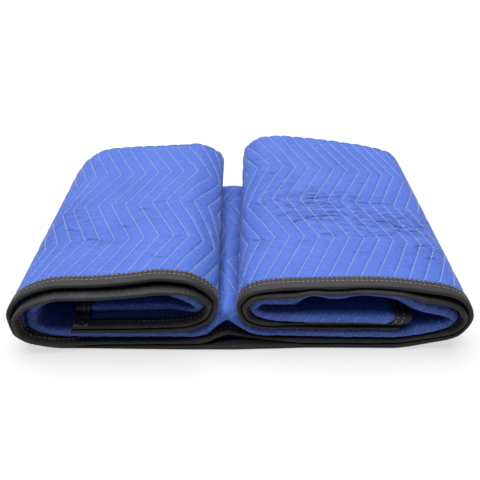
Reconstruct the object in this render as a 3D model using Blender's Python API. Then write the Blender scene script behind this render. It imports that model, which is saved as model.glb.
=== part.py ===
"""Moving blanket: a zigzag-quilted panel with woven binding, folded to four layers and rolled in from both ends."""

from collections import namedtuple

import bmesh
import bpy
import numpy as np

MM = 0.001

# Flat panel: its length runs along the strip, its width is folded to a quarter
PANEL_LENGTH = 2032 * MM
PANEL_WIDTH = 1829 * MM
QUARTER = PANEL_WIDTH / 4

# Folded and rolled blanket
DEPTH = 463 * MM
VALLEY_X = -17.5 * MM
FRONT_Y = -225.5 * MM
QUILT_THICK = 8.0 * MM
LEAST_GAP = 1.2 * MM
GROOVE = 1.8 * MM
UNEVEN = 0.4 * MM

# Zigzag quilting
ROW_PITCH = 23.7 * MM
ROW_PHASE = 10.0 * MM
ZIGZAG_REACH = 23.5 * MM
ZIGZAG_HALF = 107.7 * MM
ZIGZAG_START = 5.5 * MM
ZIGZAG_DRIFT = 0.0058
SHOULDER = 0.28
RANGE_FADE = 25 * MM

# Binding tape
TAPE_THICK = 1.2 * MM
TAPE_GAP = 0.3 * MM
TAPE_WIDE = 22 * MM
SHOULDER_RUN = 4 * MM
SIDE_PRESS = TAPE_THICK + TAPE_GAP
CORNER_GAP = 0.4 * MM
END_PRESS = 0.9 * MM

# Spacing of the plain sections along the strip
STEP_RUN = 75 * MM
STEP_TURN = np.radians(19)

Station = namedtuple("Station", "name outer_x outer_z inner_x inner_z back_dx back_dz")

# Front section of the right roll in mm from the valley, and how much it moves by the back
RIGHT = [
    Station("flank_a", 17, 0, 17, 54, 0, -6),
    Station("flank_b", 33, 0, 33, 41, 0, -3),
    Station("foot", 56, 0, 56, 35, 0, 0),
    Station("floor_a", 130, 0, 130, 35, 0, 0),
    Station("floor_b", 245, 0, 240, 35, 0, 0),
    Station("turn_a", 305, 11, 290, 42, 0, 0),
    Station("turn_b", 343, 24, 318, 47, -4, 0),
    Station("turn_c", 361, 59, 327, 51, -8, 0),
    Station("turn_d", 351, 86, 318, 54, -14, 4),
    Station("top_a", 321, 105, 297, 58, -10, 18),
    Station("top_b", 285, 112, 272, 65, -6, 21),
    Station("top_c", 240, 118, 242, 83, 0, 21),
    Station("top_d", 195, 120, 196, 89, 0, 25),
    Station("top_e", 155, 119, 157, 81, 0, 32),
    Station("top_f", 122, 118, 122, 88, 0, 35),
    Station("top_g", 92, 117, 96, 72, 0, 41),
    Station("top_h", 58, 114, 66, 74, 0, 40),
    Station("inner_a", 28, 105, 53, 77, 3, 31),
    Station("inner_b", 12, 78, 45, 73, 11, 32),
    Station("inner_c", 22, 51, 54, 68, 8, 21),
    Station("return_a", 58, 38, 76, 66, 4, 14),
    Station("return_b", 150, 37, 158, 66, 0, 12),
    Station("end", 247, 37, 270, 63, 0, 12),
]

# Front section of the left roll, mirrored to run the same way
LEFT = [
    Station("flank_a", 17, 0, 17, 60, 0, -13),
    Station("flank_b", 33, 0, 33, 41, 0, -3),
    Station("foot", 56, 0, 56, 33, 0, 0),
    Station("floor_a", 130, 0, 130, 33, 0, 0),
    Station("floor_b", 250, 0, 244, 33, 0, 0),
    Station("turn_a", 296, 9, 275, 39, -2, 0),
    Station("turn_b", 322, 30, 284, 47, -5, 0),
    Station("turn_c", 326, 61, 284, 57, -10, 0),
    Station("turn_d", 314, 87, 275, 63, -10, -3),
    Station("top_a", 290, 106, 256, 69, -9, 4),
    Station("top_b", 245, 120, 226, 74, -2, 10),
    Station("top_c", 190, 122, 186, 74, 0, 13),
    Station("top_d", 141, 127, 140, 76, 0, 10),
    Station("top_e", 97, 133, 97, 79, 0, 7),
    Station("top_f", 64, 130, 74, 79, -2, 12),
    Station("inner_a", 34, 116, 62, 78, -8, 9),
    Station("inner_b", 14, 88, 49, 71, 1, 13),
    Station("inner_c", 24, 54, 56, 67, 2, 10),
    Station("return_a", 58, 37, 78, 64, 2, 7),
    Station("return_b", 140, 34, 140, 63, 0, 8),
    Station("end", 231, 34, 227, 60, 0, 8),
]

VALLEY = Station("valley", 0, 0, -4, 71, 0, -23)

Front = namedtuple("Front", "s edge_a edge_b fold_c pinch")

# How far the two edges and the fold between them sit back from the front line along the strip, in mm,
# and how much of the gap inside that fold is pressed out
FRONTS = [
    Front(0, -4, -2, 30, 0),
    Front(150, -3, -1, 30, 0),
    Front(215, 2, 2, 14, 0),
    Front(260, 1, -4, 8, 0),
    Front(320, 1, -10, 16, 0),
    Front(380, 1, -12, 36, 0),
    Front(520, 1, -12, 36, 0),
    Front(590, 1, -11, 20, 0),
    Front(660, 1, -10, 8, 0),
    Front(740, 2, -4, 6, 0),
    Front(800, 1, 1, 6, 0),
    Front(940, -1, 2, 5, 0),
    Front(985, -1, 9, 5, 0.5),
    Front(1016, 0, 13, 6, 0.9),
    Front(1050, 1, 9, 6, 0.5),
    Front(1100, 3, 4, 5, 0),
    Front(1280, 2, 3, 2, 0),
    Front(1360, 1, -1, 8, 0),
    Front(1430, 1, -3, 7, 0),
    Front(1500, 1, -4, 12, 0),
    Front(1640, 1, -3, 13, 0),
    Front(1760, 1, -2, 6, 0),
    Front(1850, 2, 1, 0, 0),
    Front(1920, 2, 4, -4, 0),
    Front(2032, 2, 4, -4, 0),
]

# Shallow creases across the quilting rows: where along the strip, how far back, and how deep in mm
Crease = namedtuple("Crease", "middle reach back run depth")
CREASES = [
    Crease(1440, 150, 205, 14, 1.8),
    Crease(1560, 110, 178, 10, 1.2),
    Crease(1400, 120, 330, 12, 1.0),
    Crease(620, 110, 225, 12, 1.2),
    Crease(470, 90, 120, 12, 1.0),
]

# A row runs along the strip on one face of the sheet: where it lies in the fold, its press and its columns
Row = namedtuple("Row", "part place side press fine")


def zigzag(base, v):
    """Sideways swing of the quilting rows at a distance v from edge A, a little skew along the strip."""
    phase = ((v - ZIGZAG_START - ZIGZAG_DRIFT * base) / ZIGZAG_HALF) % 2.0
    return ZIGZAG_REACH * (2.0 * np.abs(phase - 1.0) - 1.0)


def eased(knots, values, at):
    """Smooth curve through the values that never overshoots them."""
    step = np.diff(knots)
    slope = np.diff(values) / step
    tangent = np.zeros(len(values))
    for i in range(1, len(values) - 1):
        if slope[i - 1] * slope[i] > 0:
            before = 2 * step[i] + step[i - 1]
            after = step[i] + 2 * step[i - 1]
            tangent[i] = (before + after) / (before / slope[i - 1] + after / slope[i])
    tangent[0], tangent[-1] = slope[0], slope[-1]
    i = np.clip(np.searchsorted(knots, at) - 1, 0, len(step) - 1)
    t = (at - knots[i]) / step[i]
    return (
        (2 * t**3 - 3 * t**2 + 1) * values[i]
        + (t**3 - 2 * t**2 + t) * step[i] * tangent[i]
        + (3 * t**2 - 2 * t**3) * values[i + 1]
        + (t**3 - t**2) * step[i] * tangent[i + 1]
    )


def strip_table():
    """The strip's section from its left end to its right end, against distance along its outer face."""
    left = [(-r.outer_x, r.outer_z, -r.inner_x, r.inner_z, -r.back_dx, r.back_dz) for r in reversed(LEFT)]
    right = [r[1:] for r in [VALLEY] + RIGHT]
    rows = np.array(left + right, float) * MM
    middle = (rows[:, 0:2] + rows[:, 2:4]) / 2
    knots = np.append(0, np.cumsum(np.linalg.norm(np.diff(middle, axis=0), axis=1)))
    at = np.linspace(0, knots[-1], 3000)
    columns = np.array([eased(knots, column, at) for column in rows.T])
    run = np.append(0, np.cumsum(np.hypot(np.diff(columns[0]), np.diff(columns[1]))))
    return run * PANEL_LENGTH / run[-1], columns


RUN, SECTION = strip_table()


def section_at(s, y):
    """Outer point, inner point and height of the stack of four layers."""
    inside = np.clip(s, RUN[0], RUN[-1])
    ox, oz, ix, iz, dx, dz = (np.interp(inside, RUN, column) for column in SECTION)
    past = s - inside
    back = y / DEPTH
    outer = np.array([ox + back * dx + past, np.maximum(oz + back * dz, 0)])
    inner = np.array([ix + back * dx + past, iz + back * dz])
    return outer, inner, np.hypot(*(inner - outer))


def thickness(height):
    return np.minimum(QUILT_THICK, height / 4 - LEAST_GAP)


def wave(s, length, shift):
    return np.sin(2 * np.pi * s / length + shift)


def front(s, part):
    """How far the front of one layer sits back: edge A, edge B or the fold between the other two layers."""
    column = {"a1": 1, "b1": 2}.get(part, 3)
    knots, values = (np.array([row[k] for row in FRONTS]) * MM for k in (0, column))
    return eased(knots, values, np.clip(s, 0, knots[-1]))


def pressed(s, spacing, thick):
    """Spacing of the two layers of the front fold, closer where it is pinched."""
    knots, pinch = (np.array([row[k] for row in FRONTS]) for k in (0, 4))
    share = eased(knots * MM, pinch, np.clip(s, 0, knots[-1] * MM))
    return spacing - share * np.maximum(0.0, spacing - thick - LEAST_GAP)


def sheet_point(s, part, place, offset_of):
    """A point on the folded sheet. Parts a1, b1, b2, a2 are layers from the outside in, d1, d2 and c its folds."""
    middle_y = {"d1": DEPTH, "d2": DEPTH, "c": 0.0}.get(part, place)
    outer, inner, height = section_at(s, np.full_like(s, middle_y))
    thick = thickness(height)
    offset = offset_of(thick)
    spacing = (height - thick) / 3
    first = thick / 2
    fold_y = DEPTH - height / 2
    if part == "d1":
        radius = 1.5 * spacing + offset
        y = fold_y + radius * np.sin(place)
        across = height / 2 - radius * np.cos(place)
    elif part == "d2":
        radius = 0.5 * spacing - offset
        y = fold_y + radius * np.sin(place)
        across = height / 2 + radius * np.cos(place)
    elif part == "c":
        half = pressed(s, spacing, thick) / 2
        radius = half + offset
        y = front(s, part) + thick / 2 + half - radius * np.sin(place)
        across = first + 3 * spacing - half + radius * np.cos(place)
    else:
        level = {"a1": 0, "b1": 1, "b2": 2, "a2": 3}[part]
        facing = {"a1": -1, "b1": 1, "b2": -1, "a2": 1}[part]
        y = place + front(s, part) * max(0.0, 1 - place / (4 * TAPE_WIDE))
        across = first + level * spacing + facing * offset
    x, z = outer + (inner - outer) * across / height
    return np.stack([x + VALLEY_X, y + FRONT_Y, z], axis=-1)


def along_sheet(part, place):
    """Distance of a row from edge A, over the folded sheet."""
    fold_y = DEPTH - 19 * MM
    return {
        "a1": place,
        "d1": fold_y + (QUARTER - fold_y) * 2 * place / np.pi,
        "a2": 2 * QUARTER - place,
        "c": 2 * QUARTER - 14 * MM + 28 * MM * place / np.pi,
        "b2": 2 * QUARTER + place,
        "d2": 2 * QUARTER + fold_y + (QUARTER - fold_y) * 2 * place / np.pi,
        "b1": 4 * QUARTER - place,
    }[part]


def plain_columns():
    """Sections closer together where the strip turns."""
    turned = np.zeros(len(RUN))
    for x, z in (SECTION[0:2], SECTION[2:4]):
        heading = np.unwrap(np.arctan2(np.gradient(z), np.gradient(x)))
        turned[1:] += np.cumsum(np.abs(np.diff(heading))) / 2
    measure = RUN / STEP_RUN + turned / STEP_TURN
    count = int(np.ceil(measure[-1]))
    even = np.interp(np.linspace(0, measure[-1], count + 1), measure, RUN)
    near = np.array([0, TAPE_WIDE + TAPE_GAP, TAPE_WIDE + TAPE_GAP + SHOULDER_RUN])
    clear = near[-1] + 15 * MM
    even = even[(even > clear) & (even < PANEL_LENGTH - clear)]
    return np.concatenate([near, even, PANEL_LENGTH - near[::-1]])


def quilted_columns(ranges):
    """Three sections to a quilting row in the ranges that show, and the plain ones elsewhere."""
    keep = [s for s in PLAIN if not any(a < s < b for a, b in ranges)]
    for k in range(int(PANEL_LENGTH / ROW_PITCH) + 1):
        row = ROW_PHASE + k * ROW_PITCH
        near = [row, row + SHOULDER * ROW_PITCH, row + (1 - SHOULDER) * ROW_PITCH]
        keep += [s for s in near if any(a <= s <= b for a, b in ranges)]
    keep = np.array(sorted(keep))
    return keep[np.append(True, np.diff(keep) > 2 * MM)]


PLAIN = plain_columns()
RANGES = {"plain": [], "rolls": [(0.225, 0.745), (1.28, 1.81)], "valley": [(0.94, 1.09)]}
SWING = {"plain": 0, "rolls": 1, "valley": 0.5}
COLUMNS = {fine: quilted_columns(ranges) for fine, ranges in RANGES.items()}


def shown_share(s, fine):
    """One inside the ranges that show, easing to nothing at their ends."""
    reach = [np.minimum(s - a, b - s) for a, b in RANGES[fine]]
    return np.clip(np.max(reach, axis=0) / RANGE_FADE, 0, 1) if reach else np.zeros_like(s)


def relief(s, row, v):
    """How far the face sinks below the full puff: at the quilting rows and in the creases."""
    if row.fine == "plain":
        return np.zeros_like(s)
    phase = ((s - ROW_PHASE) / ROW_PITCH + 0.5) % 1.0 - 0.5
    sunk = GROOVE * np.clip(1 - np.abs(phase) / SHOULDER, 0, 1)
    sunk = sunk + UNEVEN * (1 + wave(s, 0.171, 9 * v)) * (0.6 + 0.4 * wave(s, 0.097, 21 * v))
    if row.part == "a1":
        for crease in CREASES:
            along = np.clip(1 - np.abs(s - crease.middle * MM) / (crease.reach * MM), 0, 1)
            across = max(0.0, 1 - abs(v - crease.back * MM) / (crease.run * MM))
            sunk = sunk + crease.depth * MM * across * np.sqrt(along)
    return sunk * shown_share(s, row.fine) * SWING[row.fine]


def row_points(row):
    """Points of one row, and where its sections lie on the strip."""
    base = COLUMNS[row.fine]
    v = along_sheet(row.part, row.place)
    s = base + zigzag(base, v) * shown_share(base, row.fine) * SWING[row.fine]
    ends = np.minimum(base, PANEL_LENGTH - base) < TAPE_WIDE + SHOULDER_RUN / 2
    press = np.where(ends, SIDE_PRESS + END_PRESS, row.press)
    sunk = press + relief(base, row, v)
    points = sheet_point(s, row.part, row.place, lambda thick: row.side * (thick / 2 - sunk))
    return points, base


def quilt_rows():
    """All rows round the folded sheet: up the face that shows, then back along the other one."""
    tape = SIDE_PRESS
    edge_in = TAPE_THICK + TAPE_GAP
    tape_end = TAPE_WIDE + TAPE_GAP
    full = tape_end + SHOULDER_RUN
    shown = [60, 90, 120, 172, 200, 227, 255, 295, 334, 395]
    turns = np.radians
    rows = [Row("a1", edge_in, 1, tape, "plain"), Row("a1", tape_end, 1, tape, "plain")]
    rows += [Row("a1", full, 1, 0, "rolls")] + [Row("a1", y * MM, 1, 0, "rolls") for y in shown]
    rows += [Row("d1", turns(a), 1, 0, "rolls") for a in (0, 45, 90, 135)]
    rows += [Row("d1", np.pi, 1, 0, "valley")]
    rows += [Row("a2", y * MM, 1, 0, "valley") for y in (365, 311, 257, 203, 150, 60)]
    rows += [Row("c", turns(a), 1, 0, "valley") for a in (0, 45, 90, 135)] + [Row("c", np.pi, 1, 0, "plain")]
    rows += [Row("d2", turns(a), 1, 0, "plain") for a in (0, 90, 180)]
    rows += [Row("b1", full, 1, 0, "plain")]
    rows += [Row("b1", tape_end, 1, tape, "plain"), Row("b1", edge_in, 1, tape, "plain")]
    other = [Row("b1", edge_in, -1, tape, "plain"), Row("b1", tape_end, -1, tape, "plain")]
    other += [Row("b1", full, -1, 0, "plain")]
    other += [Row("d2", turns(a), -1, 0, "plain") for a in (180, 135, 90, 45, 0)]
    other += [Row("c", turns(a), -1, 0, "plain") for a in (180, 90, 0)]
    other += [Row("a2", 60 * MM, -1, 0, "plain"), Row("a2", 241 * MM, -1, 0, "plain")]
    other += [Row("d1", turns(a), -1, 0, "plain") for a in (180, 135, 90, 45, 0)]
    other += [Row("a1", full, -1, 0, "plain")]
    other += [Row("a1", tape_end, -1, tape, "plain"), Row("a1", edge_in, -1, tape, "plain")]
    return rows, other


def zipped(first, second, first_at, second_at, lead=True):
    """Triangles between two runs of vertices, always stepping along the one that is behind, or the lead one."""
    faces = []
    i = j = 0
    while i < len(first) - 1 or j < len(second) - 1:
        if j == len(second) - 1:
            step_first = True
        elif i == len(first) - 1:
            step_first = False
        else:
            behind = (second_at[j] + second_at[j + 1]) - (first_at[i] + first_at[i + 1])
            step_first = behind > 0 or (behind == 0 and lead)
        if step_first:
            faces.append((first[i], first[i + 1], second[j]))
            i += 1
        else:
            faces.append((first[i], second[j + 1], second[j]))
            j += 1
    return faces


def make_object(name, points, faces, material):
    mesh = bpy.data.meshes.new(name)
    mesh.from_pydata([tuple(p) for p in points], [], faces)
    shaped = bmesh.new()
    shaped.from_mesh(mesh)
    bmesh.ops.recalc_face_normals(shaped, faces=shaped.faces)
    shaped.to_mesh(mesh)
    shaped.free()
    mesh.polygons.foreach_set("use_smooth", [True] * len(mesh.polygons))
    mesh.materials.append(material)
    made = bpy.data.objects.new(name, mesh)
    BLANKET.objects.link(made)
    return made


def make_quilt(material):
    """The folded sheet: every row joined to the next, and a narrow face at each end of the strip."""
    rows, other = quilt_rows()
    points, loops, at, count = [], [], [], 0
    for row in rows + other:
        found, base = row_points(row)
        points.append(found)
        loops.append(list(range(count, count + len(found))))
        at.append(base)
        count += len(found)
    faces = []
    for k in range(len(loops)):
        n = (k + 1) % len(loops)
        lead = points[k][:, 1].mean() < points[n][:, 1].mean()
        faces += zipped(loops[k], loops[n], at[k], at[n], lead)
    for end in (0, -1):
        near = [loop[end] for loop in loops[: len(rows)]]
        far = [loop[end] for loop in reversed(loops[len(rows):])]
        near_at = [along_sheet(row.part, row.place) for row in rows]
        far_at = [along_sheet(row.part, row.place) for row in reversed(other)]
        faces += zipped(near, far, near_at, far_at)
    return make_object("quilt", np.concatenate(points), faces, material)


def swept(name, rings, outer_count, material):
    """Rings joined one to the next. Each is a closed section, first its outer points and then its inner ones."""
    points = np.concatenate(rings)
    size = len(rings[0])
    faces = []
    for k in range(len(rings) - 1):
        for i in range(size):
            n = (i + 1) % size
            faces.append((k * size + i, k * size + n, (k + 1) * size + n, (k + 1) * size + i))
    for start in (0, (len(rings) - 1) * size):
        outer = [start + i for i in range(outer_count)]
        inner = [start + i for i in reversed(range(outer_count, size))]
        faces += zipped(outer, inner, np.linspace(0, 1, len(outer)), np.linspace(0, 1, len(inner)))
    return make_object(name, points, faces, material)


def tape_section():
    """Folded tape in the plane across an edge: distance in from the edge, side, and depth below the face."""
    outside = [(TAPE_WIDE, 1, 0.0), (2.6 * MM, 1, 0.0), (0.7 * MM, 1, 0.8 * MM), (0.0, 1, 2.6 * MM)]
    inside = [(TAPE_WIDE, 1, TAPE_THICK), (TAPE_THICK, 1, TAPE_THICK)]
    outer = outside + [(d, -side, depth) for d, side, depth in reversed(outside)]
    inner = inside + [(d, -side, depth) for d, side, depth in reversed(inside)]
    return outer + inner[::-1], len(outer)


def make_edge_binding(name, layer, material):
    """Tape over a long edge at the front, running the whole strip and past both ends."""
    section, outer_count = tape_section()
    s = np.concatenate([[-SIDE_PRESS], PLAIN[1:-1], [PANEL_LENGTH + SIDE_PRESS]])
    lines = []
    for inward, side, depth in section:
        lines.append(sheet_point(s, layer, inward, lambda thick: side * (thick / 2 - depth)))
    rings = list(np.stack(lines, axis=1))
    return swept(name, rings, outer_count, material)


def make_side_binding(name, at_left, material):
    """Tape over the strip's end, following the sheet through all its folds."""
    section, outer_count = tape_section()
    stops = [("a1", TAPE_WIDE + CORNER_GAP), ("a1", 60 * MM), ("a1", DEPTH / 2)]
    stops += [("d1", a) for a in np.radians((0, 45, 90, 135, 180))]
    stops += [("a2", DEPTH / 2)] + [("c", a) for a in np.radians((0, 45, 90, 135, 180))]
    stops += [("b2", DEPTH / 2)] + [("d2", a) for a in np.radians((0, 45, 90, 135, 180))]
    stops += [("b1", DEPTH / 2), ("b1", 60 * MM), ("b1", TAPE_WIDE + CORNER_GAP)]
    rings = []
    for part, place in stops:
        ring = []
        for inward, side, depth in section:
            s = np.array([inward - SIDE_PRESS])
            s = s if at_left else PANEL_LENGTH - s
            ring.append(sheet_point(s, part, place, lambda thick: side * (thick / 2 - depth))[0])
        rings.append(np.array(ring))
    return swept(name, rings, outer_count, material)


def make_material(name, colour, roughness):
    material = bpy.data.materials.new(name)
    material.use_nodes = True
    shader = material.node_tree.nodes["Principled BSDF"]
    shader.inputs["Base Color"].default_value = (*colour, 1)
    shader.inputs["Roughness"].default_value = roughness
    material.diffuse_color = (*colour, 1)
    return material


for old in list(bpy.data.objects):
    bpy.data.objects.remove(old, do_unlink=True)
BLANKET = bpy.data.collections.new("moving_blanket")
bpy.context.scene.collection.children.link(BLANKET)

make_quilt(make_material("quilted_cloth", (0.075, 0.16, 0.78), 0.7))
make_edge_binding("binding_a", "a1", make_material("binding_a_tape", (0.022, 0.022, 0.025), 0.8))
make_edge_binding("binding_b", "b1", make_material("binding_b_tape", (0.022, 0.022, 0.025), 0.8))
make_side_binding("binding_left", True, make_material("binding_left_tape", (0.022, 0.022, 0.025), 0.8))
make_side_binding("binding_right", False, make_material("binding_right_tape", (0.022, 0.022, 0.025), 0.8))
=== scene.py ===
"""Moving blanket, folded and rolled: cloth quilted in zigzag rows, woven binding and all its sewing."""

import math
from collections import namedtuple

import bmesh
import bpy
import numpy as np
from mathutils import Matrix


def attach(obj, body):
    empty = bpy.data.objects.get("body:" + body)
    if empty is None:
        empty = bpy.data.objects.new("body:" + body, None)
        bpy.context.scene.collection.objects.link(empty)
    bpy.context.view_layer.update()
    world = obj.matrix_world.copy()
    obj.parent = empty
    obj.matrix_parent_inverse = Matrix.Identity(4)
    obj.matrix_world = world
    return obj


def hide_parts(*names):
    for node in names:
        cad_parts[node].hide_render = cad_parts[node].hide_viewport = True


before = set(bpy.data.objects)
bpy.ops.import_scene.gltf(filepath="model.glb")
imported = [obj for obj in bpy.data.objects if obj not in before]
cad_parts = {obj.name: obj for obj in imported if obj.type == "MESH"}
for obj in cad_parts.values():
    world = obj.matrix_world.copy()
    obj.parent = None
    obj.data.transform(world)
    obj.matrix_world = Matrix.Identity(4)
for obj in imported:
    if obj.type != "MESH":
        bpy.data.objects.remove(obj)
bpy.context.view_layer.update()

MM = 0.001

# Flat panel and its fold
PANEL_LENGTH = 2032 * MM
PANEL_WIDTH = 1829 * MM
QUARTER = PANEL_WIDTH / 4
DEPTH = 463 * MM
VALLEY_X = -17.5 * MM
FRONT_Y = -225.5 * MM
QUILT_THICK = 8.0 * MM
LEAST_GAP = 1.2 * MM
BACK_FOLD = 19 * MM
FRONT_FOLD = 28 * MM

# Zigzag quilting
GROOVE = 1.5 * MM
UNEVEN = 0.4 * MM
ROW_PITCH = 23.7 * MM
ROW_PHASE = 10.0 * MM
ZIGZAG_REACH = 23.5 * MM
ZIGZAG_HALF = 107.7 * MM
ZIGZAG_START = 5.5 * MM
ZIGZAG_DRIFT = 0.0058
RANGE_FADE = 25 * MM

# Binding tape
TAPE_THICK = 1.2 * MM
TAPE_GAP = 0.3 * MM
TAPE_WIDE = 22 * MM
SHOULDER_RUN = 4 * MM
SIDE_PRESS = TAPE_THICK + TAPE_GAP
CORNER_GAP = 0.4 * MM
END_PRESS = 0.9 * MM
NOSE_RUN = 5.5 * MM
NOSE_SOLID = 3.2 * MM
NOSE_DEPTH = 3.3 * MM
SIDE_NOSE_RUN = 2.6 * MM
GATHER_PITCH = 7.2 * MM
GATHER_A = 0.35 * MM
GATHER_B = 1.0 * MM

# Sewing: where the rows run, how long the stitches are, and the thread's length, width and height
TAPE_SEAMS = (12.2 * MM, 19.6 * MM)
TACK_NEAR = 2.5 * MM
TACK_FAR = 23 * MM
QUILTING_PITCH = 4.4 * MM
BINDING_PITCH = 7 * MM
TACK_PITCH = 3.2 * MM
QUILTING_BEAD = (3.8 * MM, 1.05 * MM, 0.8 * MM)
FINE_BEAD = (3.4 * MM, 0.65 * MM, 0.6 * MM)
BINDING_BEAD = (5.6 * MM, 1.0 * MM, 0.7 * MM)
TACK_BEAD = (2.8 * MM, 0.8 * MM, 0.6 * MM)
SEAM_LIFT = 0.1 * MM
UPWARD = 5 * MM

# Fineness of the cloth
DEPTH_STEP = 3.6 * MM
STEP_RUN = 75 * MM
STEP_TURN = np.radians(19)
TAPE_STEP = 2.5 * MM
LOOSE_TAPE_STEP = 1.6 * MM
TURNED_IN = 20 * MM

Station = namedtuple("Station", "name outer_x outer_z inner_x inner_z back_dx back_dz")

# Front section of the right roll in mm from the valley, and how much it moves by the back
RIGHT = [
    Station("flank_a", 17, 0, 17, 54, 0, -6),
    Station("flank_b", 33, 0, 33, 41, 0, -3),
    Station("foot", 56, 0, 56, 35, 0, 0),
    Station("floor_a", 130, 0, 130, 35, 0, 0),
    Station("floor_b", 245, 0, 240, 35, 0, 0),
    Station("turn_a", 305, 11, 290, 42, 0, 0),
    Station("turn_b", 343, 24, 318, 47, -4, 0),
    Station("turn_c", 361, 59, 327, 51, -8, 0),
    Station("turn_d", 351, 86, 318, 54, -14, 4),
    Station("top_a", 321, 105, 297, 58, -10, 18),
    Station("top_b", 285, 112, 272, 65, -6, 21),
    Station("top_c", 240, 118, 242, 83, 0, 21),
    Station("top_d", 195, 120, 196, 89, 0, 25),
    Station("top_e", 155, 119, 157, 81, 0, 32),
    Station("top_f", 122, 118, 122, 88, 0, 35),
    Station("top_g", 92, 117, 96, 72, 0, 41),
    Station("top_h", 58, 114, 66, 74, 0, 40),
    Station("inner_a", 28, 105, 53, 77, 3, 31),
    Station("inner_b", 12, 78, 45, 73, 11, 32),
    Station("inner_c", 22, 51, 54, 68, 8, 21),
    Station("return_a", 58, 38, 76, 66, 4, 14),
    Station("return_b", 150, 37, 158, 66, 0, 12),
    Station("end", 247, 37, 270, 63, 0, 12),
]

# Front section of the left roll, mirrored to run the same way
LEFT = [
    Station("flank_a", 17, 0, 17, 60, 0, -13),
    Station("flank_b", 33, 0, 33, 41, 0, -3),
    Station("foot", 56, 0, 56, 33, 0, 0),
    Station("floor_a", 130, 0, 130, 33, 0, 0),
    Station("floor_b", 250, 0, 244, 33, 0, 0),
    Station("turn_a", 296, 9, 275, 39, -2, 0),
    Station("turn_b", 322, 30, 284, 47, -5, 0),
    Station("turn_c", 326, 61, 284, 57, -10, 0),
    Station("turn_d", 314, 87, 275, 63, -10, -3),
    Station("top_a", 290, 106, 256, 69, -9, 4),
    Station("top_b", 245, 120, 226, 74, -2, 10),
    Station("top_c", 190, 122, 186, 74, 0, 13),
    Station("top_d", 141, 127, 140, 76, 0, 10),
    Station("top_e", 97, 133, 97, 79, 0, 7),
    Station("top_f", 64, 130, 74, 79, -2, 12),
    Station("inner_a", 34, 116, 62, 78, -8, 9),
    Station("inner_b", 14, 88, 49, 71, 1, 13),
    Station("inner_c", 24, 54, 56, 67, 2, 10),
    Station("return_a", 58, 37, 78, 64, 2, 7),
    Station("return_b", 140, 34, 140, 63, 0, 8),
    Station("end", 231, 34, 227, 60, 0, 8),
]

VALLEY = Station("valley", 0, 0, -4, 71, 0, -23)

Front = namedtuple("Front", "s edge_a edge_b fold_c pinch")

# How far the two edges and the fold between them sit back from the front line along the strip, in mm,
# and how much of the gap inside that fold is pressed out
FRONTS = [
    Front(0, -4, -2, 30, 0),
    Front(150, -3, -1, 30, 0),
    Front(215, 2, 2, 14, 0),
    Front(260, 1, -4, 8, 0),
    Front(320, 1, -10, 16, 0),
    Front(380, 1, -12, 36, 0),
    Front(520, 1, -12, 36, 0),
    Front(590, 1, -11, 20, 0),
    Front(660, 1, -10, 8, 0),
    Front(740, 2, -4, 6, 0),
    Front(800, 1, 1, 6, 0),
    Front(940, -1, 2, 5, 0),
    Front(985, -1, 9, 5, 0.5),
    Front(1016, 0, 13, 6, 0.9),
    Front(1050, 1, 9, 6, 0.5),
    Front(1100, 3, 4, 5, 0),
    Front(1280, 2, 3, 2, 0),
    Front(1360, 1, -1, 8, 0),
    Front(1430, 1, -3, 7, 0),
    Front(1500, 1, -4, 12, 0),
    Front(1640, 1, -3, 13, 0),
    Front(1760, 1, -2, 6, 0),
    Front(1850, 2, 1, 0, 0),
    Front(1920, 2, 4, -4, 0),
    Front(2032, 2, 4, -4, 0),
]

# Listed creases on the roll tops, in mm: both ends seen from above, how wide and how deep
Crease = namedtuple("Crease", "x0 y0 x1 y1 wide deep")
CREASES = [
    Crease(83, -65, 102, -58, 1.2, 2.2),
    Crease(104, -54, 123, -46, 1.3, 2.4),
    Crease(130, -50, 147, -42, 1.2, 2.0),
    Crease(150, -38, 157, -47, 1.0, 1.4),
    Crease(187, 20, 204, 18, 1.2, 2.2),
    Crease(110, 3, 133, 7, 1.1, 1.5),
    Crease(133, 8, 156, 11, 1.0, 1.1),
    Crease(156, 12, 174, 19, 1.1, 1.5),
    Crease(181, 6, 223, 1, 1.2, 1.6),
    Crease(223, 1, 262, 8, 1.1, 1.5),
    Crease(215, -50, 235, -58, 1.1, 1.6),
    Crease(235, -58, 247, -56, 1.1, 1.6),
    Crease(255, -69, 274, -58, 1.2, 2.0),
    Crease(274, -58, 308, -48, 1.2, 2.2),
    Crease(70, 51, 96, 51, 1.1, 1.3),
    Crease(37, 95, 62, 84, 1.1, 1.2),
    Crease(25, 1, 42, -12, 1.1, 1.5),
    Crease(20, -99, 39, -108, 1.1, 1.6),
    Crease(128, -97, 149, -98, 1.2, 1.7),
    Crease(166, -46, 175, -57, 1.0, 1.2),
    Crease(191, -100, 202, -99, 1.1, 1.2),
    Crease(167, -143, 200, -144, 1.1, 1.0),
    Crease(272, -117, 291, -106, 1.1, 1.6),
    Crease(282, -145, 303, -134, 1.1, 1.6),
    Crease(175, 129, 195, 138, 1.1, 1.2),
    Crease(207, 66, 228, 72, 1.0, 0.9),
    Crease(221, -94, 247, -92, 1.0, 1.0),
    Crease(47, 15, 71, 14, 1.0, 0.9),
    Crease(277, -18, 293, -16, 1.1, 1.2),
    Crease(93, -116, 111, -113, 1.0, 0.9),
    Crease(58, -48, 75, -46, 1.0, 1.1),
    Crease(-243, -110, -226, -106, 1.1, 1.6),
    Crease(-226, -106, -212, -113, 1.0, 1.2),
    Crease(-282, -69, -255, -84, 1.1, 1.4),
    Crease(-197, -67, -174, -78, 1.1, 1.3),
    Crease(-171, -18, -146, -26, 1.0, 1.0),
    Crease(-108, -118, -87, -109, 1.0, 1.1),
    Crease(-133, -165, -109, -172, 1.0, 1.0),
    Crease(-274, 151, -248, 137, 1.0, 0.9),
    Crease(-91, -13, -72, 1, 1.0, 0.9),
]

MAP_NAMES = ("cloth", "rows", "creases", "zones")

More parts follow.
